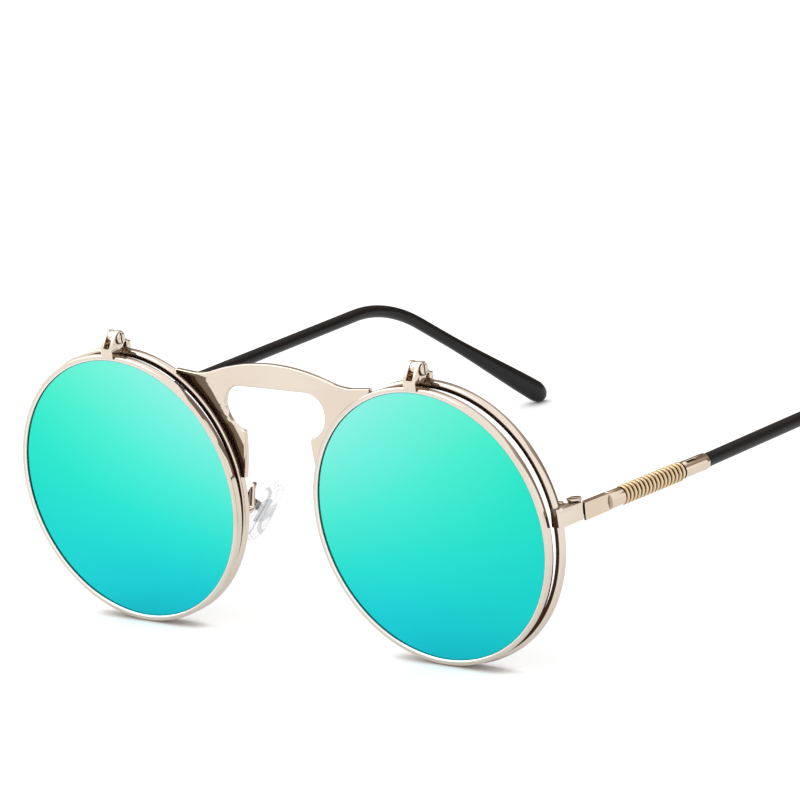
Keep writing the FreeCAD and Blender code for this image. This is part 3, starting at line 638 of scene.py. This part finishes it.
def ferrule():
    """Tube along Y with a rounded far end and a shallow slot, turned out from the top."""
    shape = bmesh.new()
    corners = closed_outline(shape, [
        (ferrule_bore, 0), (ferrule_radius, 0), (ferrule_radius, ferrule_slot_start),
        (ferrule_radius, ferrule_slot_end), (ferrule_radius, ferrule_length),
        (ferrule_bore, ferrule_length),
    ])
    far_corner = corners[4]
    bmesh.ops.bevel(shape, geom=[far_corner], offset=ferrule_end_round, affect="VERTICES",
                    segments=rounding_steps, profile=0.5, material=-1)
    bmesh.ops.spin(shape, geom=shape.verts[:] + shape.edges[:], cent=(0, 0, 0), axis=-Y,
                   angle=2 * math.pi, steps=ferrule_steps, use_merge=True)
    close_seams(shape)
    slot = []
    for face in shape.faces:
        within = ferrule_slot_start < face.calc_center_median().y < ferrule_slot_end
        if within and face.normal.z > math.cos(ferrule_slot_half_angle):
            slot.append(face)
    made = bmesh.ops.extrude_face_region(shape, geom=slot)["geom"]
    sunk = only(bmesh.types.BMVert, made)
    bmesh.ops.translate(shape, verts=sunk, vec=(0, 0, -ferrule_slot_depth))
    # The slot's faces get the unpolished finish, painted dark as the shade inside the slot.
    for face in {f for v in sunk for f in v.link_faces}:
        face.material_index = TEMPLE_FINISHES.index(UNPOLISHED_PAINTED_SHADE)
    bmesh.ops.rotate(shape, verts=shape.verts, cent=(0, 0, 0),
                     matrix=Matrix.Rotation(ferrule_slot_turn, 3, "Y"))
    return shape


def heading(splay, drop):
    """The way that a piece of the temple runs, from its splay outwards and its drop."""
    return (Matrix.Rotation(-splay, 3, "Z") @ Matrix.Rotation(-drop, 3, "X")) @ Y


def push(shape, loop, move):
    """Extrude an open edge loop and move its new copy, which is returned."""
    made = bmesh.ops.extrude_edge_only(shape, edges=loop)["geom"]
    bmesh.ops.translate(shape, verts=only(bmesh.types.BMVert, made), vec=move)
    return [edge for edge in only(bmesh.types.BMEdge, made) if edge.is_boundary]


def resize(shape, loop, centre, side, upright, width, height):
    """Scale an edge loop across and along its own upright about its centre."""
    axis = side.cross(upright)
    local = Matrix((side, upright, axis)).to_4x4() @ Matrix.Translation(-centre)
    verts = {v for edge in loop for v in edge.verts}
    bmesh.ops.scale(shape, verts=list(verts), vec=(width, height, 1), space=local)


def temple_tip():
    """Round sleeve, bent down behind the ear, swelling into a paddle with a rounded end."""
    start = bar_base + heading(bar_splay, bar_drop) * temple_metal
    ahead = heading(tip_splay, tip_drop)
    bend = start + ahead * tip_straight
    end = bend + tip_run
    down = tip_run.normalized()
    turn = ahead.angle(down)
    cut = tip_bend_radius * math.tan(turn / 2)
    turn_axis = ahead.cross(down).normalized()
    middle = bend - ahead * cut + turn_axis.cross(ahead) * tip_bend_radius
    shape = bmesh.new()
    bmesh.ops.create_circle(shape, cap_ends=False, radius=tip_radius, segments=tip_sides)
    facing = ahead.to_track_quat("Z", "Y").to_matrix().to_4x4()
    bmesh.ops.transform(shape, matrix=Matrix.Translation(start + ahead * tip_gap) @ facing,
                        verts=shape.verts)
    loop = push(shape, shape.edges[:], ahead * (tip_straight - cut - tip_gap))
    made = bmesh.ops.spin(shape, geom=loop, cent=middle, axis=turn_axis, angle=turn,
                          steps=tip_bend_steps)
    loop = only(bmesh.types.BMEdge, made["geom_last"])
    bend_end = bend + down * cut
    base = end - down * paddle_length
    loop = push(shape, loop, base - bend_end)
    side = down.cross(Z).normalized()
    upright = side.cross(down)
    straight = paddle_length - paddle_round
    stops = [straight * i / paddle_steps for i in range(1, paddle_steps + 1)]
    stops += [straight + paddle_round * math.sin(math.pi / 2 * i / paddle_end_steps)
              for i in range(1, paddle_end_steps + 1)]
    was = 0.0
    tall = wide = tip_radius
    for stop in stops:
        share = stop / paddle_length
        swell = share * share * (3 - 2 * share)
        past = max(0.0, stop - straight) / paddle_round
        shrink = max(paddle_end_share, math.sqrt(1 - min(1.0, past ** 2)))
        new_tall = (tip_radius + (paddle_half_height - tip_radius) * swell) * shrink
        new_wide = (tip_radius + (paddle_half_width - tip_radius) * swell) * shrink
        loop = push(shape, loop, down * (stop - was))
        resize(shape, loop, base + down * stop, side, upright, new_wide / wide, new_tall / tall)
        was, tall, wide = stop, new_tall, new_wide
    close_ends(shape)
    return shape


def nose_pad():
    """Drop shaped pad, crowned on the face that meets the nose, with soft rounded edges."""
    shape = bmesh.new()
    bmesh.ops.create_circle(shape, cap_ends=True, radius=1.0, segments=pad_sides)
    upper = [v for v in shape.verts if v.co.y >= 0]
    lower = [v for v in shape.verts if v.co.y < 0]
    bmesh.ops.scale(shape, verts=upper, vec=(pad_upper_radius, pad_upper_radius, 1))
    bmesh.ops.translate(shape, verts=upper, vec=(0, pad_upper_offset, 0))
    bmesh.ops.scale(shape, verts=lower, vec=(pad_lower_radius, pad_lower_radius, 1))
    bmesh.ops.translate(shape, verts=lower, vec=(0, -pad_lower_offset, 0))
    bmesh.ops.translate(shape, verts=shape.verts, vec=(0, 0, -pad_thickness / 2))
    made = bmesh.ops.extrude_face_region(shape, geom=shape.faces[:], use_keep_orig=True)["geom"]
    bmesh.ops.translate(shape, verts=only(bmesh.types.BMVert, made), vec=(0, 0, pad_thickness))
    bmesh.ops.recalc_face_normals(shape, faces=shape.faces)
    rounded = [e for e in shape.edges if abs(e.verts[0].co.z - e.verts[1].co.z) < level_edge]
    bmesh.ops.bevel(shape, geom=rounded, offset=pad_round, affect="EDGES",
                    segments=pad_round_steps, profile=0.5, material=-1)
    for lift in pad_crown_steps:
        face = max(shape.faces, key=lambda f: f.calc_center_median().z)
        bmesh.ops.inset_region(shape, faces=[face], thickness=pad_crown_inset,
                               depth=pad_crown * lift)
    return shape


def pad_place():
    """Where a nose pad sits, with its crowned face turned to the nose."""
    across = pad_up.cross(pad_facing).normalized()
    facing = pad_facing.normalized()
    turn = Matrix((across, facing.cross(across), facing)).transposed().to_4x4()
    return Matrix.Translation(pad_centre) @ turn


def softened(name, radius):
    """A CAD piece with its sharp edges lightly rounded, so that they catch the light."""
    shape = bmesh.new()
    shape.from_mesh(nodes[name].data)
    bmesh.ops.remove_doubles(shape, verts=shape.verts, dist=cad_merge * MM)
    bmesh.ops.dissolve_limit(shape, angle_limit=flat_angle, verts=shape.verts, edges=shape.edges)
    if radius:
        sharp = [e for e in shape.edges if e.is_manifold and e.calc_face_angle() > corner_angle]
        bmesh.ops.bevel(shape, geom=sharp, offset=radius * MM, affect="EDGES", segments=edge_steps,
                        profile=0.5, material=-1, clamp_overlap=True)
    return shape


def refinish(shape, facing, low, high, finish):
    """Give another finish to the faces that look one way, within a stretch along it."""
    for face in shape.faces:
        along = face.calc_center_median().dot(facing) / MM
        if face.normal.dot(facing) > 0.9 and low < along < high:
            face.material_index = FINISHES.index(finish)


def slot_floor(shape, facing):
    """Leave the floor of a screw's slot dull and painted dark brown, as the shade in it."""
    top = max(vert.co.dot(facing) for vert in shape.verts) / MM
    refinish(shape, facing, top - slot_deepest, top - slot_shallowest, UNPOLISHED_PAINTED_SHADE)


# The pieces that are made anew. Both springs are wound the same way, so the right one is moved to
# its place and not mirrored.
for side, mirror in SIDES.items():
    temple = mirror @ TEMPLE
    rim = eye_ring(rim_radius, rim_depth, rim_slit, rim_front_round, rim_back_round)
    flip_ring = eye_ring(flip_radius, flip_depth, 0, flip_round, flip_round)
    coil = spring_coil(spring_tuck if side == "left" else -spring_tuck)
    coil_place = temple @ Matrix.Translation((0, spring_start, 0)) @ mirror
    ferrule_place = temple @ Matrix.Translation((0, ferrule_start, 0))
    for shape, place, name, materials, node, slot in (
        (rim, mirror @ RIM, "polished_rim", RING_FINISHES, "rim", "champagne_metal"),
        (flip_ring, mirror @ FLIP, "polished_flip_ring", RING_FINISHES, "flip_ring",
         "champagne_metal"),
        (coated_lens(), mirror @ FLIP, "coated_lens", LENS_FINISHES, "mirror_lens", "mirror_lens"),
        (domed_lens(rim_depth), mirror @ RIM, "clear_lens", [CLEAR_LENS], "rear_lens",
         "clear_lens"),
        (coil, coil_place, "wound_spring", [GOLD], "temple_spring", "gold_spring"),
        (ferrule(), ferrule_place, "slotted_ferrule", TEMPLE_FINISHES, "ferrule",
         "champagne_metal"),
        (temple_tip(), mirror, "acetate_tip", [BLACK_TIP], "temple_tip", "black_tip"),
        (nose_pad(), mirror @ pad_place(), "silicone_pad", [SILICONE], "nose_pad", "silicone_pad"),
    ):
        finish_piece(placed(shape, place), side + "_" + name, materials, side + "_" + node)

# The other metal pieces, and the two kinds that only get a material
for name in nodes:
    kind = kind_of(name)
    if kind in EDGE:
        shape = softened(name, EDGE[kind])
        for facing, low, high, finish in REFINISHED.get(kind, []):
            refinish(shape, facing, low, high, finish)
        if kind in SLOT_FACING:
            slot_floor(shape, SLOT_FACING[kind])
        finishes = TEMPLE_FINISHES if kind == "temple_bar" else FINISHES
        finish_piece(shape, name + "_polished", finishes, name)
    elif kind in KEPT:
        nodes[name].data.materials.clear()
        nodes[name].data.materials.append(KEPT[kind])

# Studio, in metres
table_size = 12
table_glow = 0.42
table_mirrored = 0.13
painted_contact_shadow_reach = 4 * MM
second_mirror = 1.5
backdrop_place = (-0.04, 0.6, 0.32)
backdrop_width = 1.36
backdrop_height = 0.64
backdrop_fade = 0.9
surround_light = 0.6
surround_seen = 1.0
surround_painted_dark = 0.22
lamp_place = Vector((-1.3, -0.5, 1.7))
lamp_size = 2.4
lamp_power = 24.0


def floor_material():
    """Matt white table that stays white to the eye and keeps the soft shadows of the glasses, with
    a painted contact shadow where they nearly touch it. Metal that mirrors other metal sees the
    table painted dark brown, as painted shade in the reflections between parts."""
    material, tree, output = new_material("matt_white_table")
    path = add(tree, "ShaderNodeLightPath")
    seen = add(tree, "ShaderNodeMath", {
        0: path.outputs["Is Camera Ray"], 1: path.outputs["Is Transmission Ray"]},
        operation="MAXIMUM")
    mirrored = add(tree, "ShaderNodeMath", {0: path.outputs["Is Glossy Ray"], 1: table_mirrored},
                   operation="MULTIPLY")
    # Painted contact shadow: the glow fades out where the glasses nearly touch the table.
    near = add(tree, "ShaderNodeAmbientOcclusion", {"Distance": painted_contact_shadow_reach}, samples=8)
    glow_outside_contact_shadow = add(tree, "ShaderNodeMapRange", {
        "Value": near.outputs["AO"], "From Min": 0.5, "From Max": 0.85,
        "To Min": 0.0, "To Max": table_glow})
    strength = add(tree, "ShaderNodeMath", {
        0: seen.outputs[0], 1: glow_outside_contact_shadow.outputs["Result"], 2: mirrored.outputs[0]},
        operation="MULTIPLY_ADD")
    glow = add(tree, "ShaderNodeEmission", {
        "Color": linear("#FFFFFF"), "Strength": strength.outputs[0]})
    matt = add(tree, "ShaderNodeBsdfDiffuse", {"Color": linear("#F8F8F8")})
    lit = add(tree, "ShaderNodeAddShader", {0: glow.outputs[0], 1: matt.outputs[0]})
    # Painted dark reflection: metal mirrored in metal sees the table dark brown.
    painted_dark_mask = add(tree, "ShaderNodeMath", {0: path.outputs["Glossy Depth"], 1: second_mirror},
                operation="GREATER_THAN")
    dark = add(tree, "ShaderNodeEmission", {"Color": linear("#4E3E35")})
    both = add(tree, "ShaderNodeMixShader", {
        0: painted_dark_mask.outputs[0], 1: lit.outputs[0], 2: dark.outputs[0]})
    tree.links.new(both.outputs[0], output.inputs["Surface"])
    return material


def reflection_card_material():
    """Card behind the glasses that only polished surfaces mirror, glowing brown and darker lower
    down: painted dark reflections for the metal.
    """
    material, tree, output = new_material("painted_reflection_card")
    place = add(tree, "ShaderNodeTexCoord").outputs["Object"]
    split = add(tree, "ShaderNodeSeparateXYZ", {"Vector": place})
    height = add(tree, "ShaderNodeMapRange", {
        "Value": split.outputs["Z"], "From Min": 0.0, "From Max": backdrop_fade})
    shade = add(tree, "ShaderNodeValToRGB", {"Fac": height.outputs["Result"]},
                stops=[(0.0, "#75675B"), (0.4, "#8C7F72"), (1.0, "#D8D0C8")])
    glow = add(tree, "ShaderNodeEmission", {"Color": shade.outputs["Color"], "Strength": 1.0})
    tree.links.new(glow.outputs[0], output.inputs["Surface"])
    return material


def stage_card(name, place, width, height, material):
    """A flat card of the studio, made in the XY plane and then placed."""
    shape = bmesh.new()
    bmesh.ops.create_grid(shape, x_segments=1, y_segments=1, size=0.5)
    bmesh.ops.scale(shape, verts=shape.verts, vec=(width, height, 1))
    bmesh.ops.transform(shape, matrix=place, verts=shape.verts)
    mesh = bpy.data.meshes.new(name)
    shape.to_mesh(mesh)
    shape.free()
    mesh.materials.append(material)
    card = bpy.data.objects.new(name, mesh)
    bpy.context.scene.collection.objects.link(card)
    return card


def table_and_reflection_card():
    """The white table, and a card behind the glasses that only their metal mirrors, to paint dark
    reflections on it.
    """
    stage_card("table", Matrix.Identity(4), table_size, table_size, floor_material())
    upright = Matrix.Translation(backdrop_place) @ Matrix.Rotation(math.radians(90), 4, "X")
    dark_reflection_card = stage_card("dark_reflection_card", upright, backdrop_width, backdrop_height, reflection_card_material())
    # The card shows only in mirrors, where it paints dark reflections; it gives no light or shadow.
    dark_reflection_card.visible_camera = False
    dark_reflection_card.visible_diffuse = False
    dark_reflection_card.visible_transmission = False
    dark_reflection_card.visible_shadow = False


def surround():
    """White all round to the eye, in mirrors and through the lenses, and painted dark to metal in
    metal, as painted shade in the reflections between parts.
    """
    world = bpy.data.worlds.new("white_surround")
    bpy.context.scene.world = world
    world.use_nodes = True
    tree = world.node_tree
    tree.nodes.clear()
    path = add(tree, "ShaderNodeLightPath")
    seen = add(tree, "ShaderNodeMath", {
        0: path.outputs["Is Camera Ray"], 1: path.outputs["Is Glossy Ray"]}, operation="MAXIMUM")
    seen = add(tree, "ShaderNodeMath", {
        0: seen.outputs[0], 1: path.outputs["Is Transmission Ray"]}, operation="MAXIMUM")
    painted_dark_mask = add(tree, "ShaderNodeMath", {0: path.outputs["Glossy Depth"], 1: second_mirror},
                operation="GREATER_THAN")
    white = add(tree, "ShaderNodeMapRange", {
        "Value": painted_dark_mask.outputs[0], "To Min": surround_seen, "To Max": surround_painted_dark})
    strength = add(tree, "ShaderNodeMapRange", {
        "Value": seen.outputs[0], "To Min": surround_light, "To Max": white.outputs["Result"]})
    sky = add(tree, "ShaderNodeBackground", {
        "Color": linear("#FFFFFF"), "Strength": strength.outputs["Result"]})
    output = add(tree, "ShaderNodeOutputWorld")
    tree.links.new(sky.outputs[0], output.inputs["Surface"])


def soft_lamp():
    """One large soft lamp from the upper left, aimed at the glasses."""
    lamp = bpy.data.lights.new("soft_lamp", "AREA")
    lamp.size = lamp_size
    lamp.energy = lamp_power
    aimed = lamp_place.to_track_quat("Z", "Y").to_matrix().to_4x4()
    holder = bpy.data.objects.new("soft_lamp", lamp)
    holder.matrix_world = Matrix.Translation(lamp_place) @ aimed
    bpy.context.scene.collection.objects.link(holder)


def camera():
    """The photograph's viewing angle and focal length."""
    data = bpy.data.cameras.new("camera")
    data.sensor_width = 36
    data.lens = 214.25
    right = Vector((0.788928, 0.608555, -0.085175))
    up = Vector((-0.085514, 0.245991, 0.965492))
    back = Vector((0.608507, -0.754420, 0.246110))
    place = Matrix.Translation((0.519986, -0.684337, 0.245437))
    eye = bpy.data.objects.new("camera", data)
    eye.matrix_world = place @ Matrix((right, up, back)).transposed().to_4x4()
    bpy.context.scene.collection.objects.link(eye)
    bpy.context.scene.camera = eye


table_and_reflection_card()
surround()
soft_lamp()
camera()
bpy.context.scene.view_settings.view_transform = "Standard"
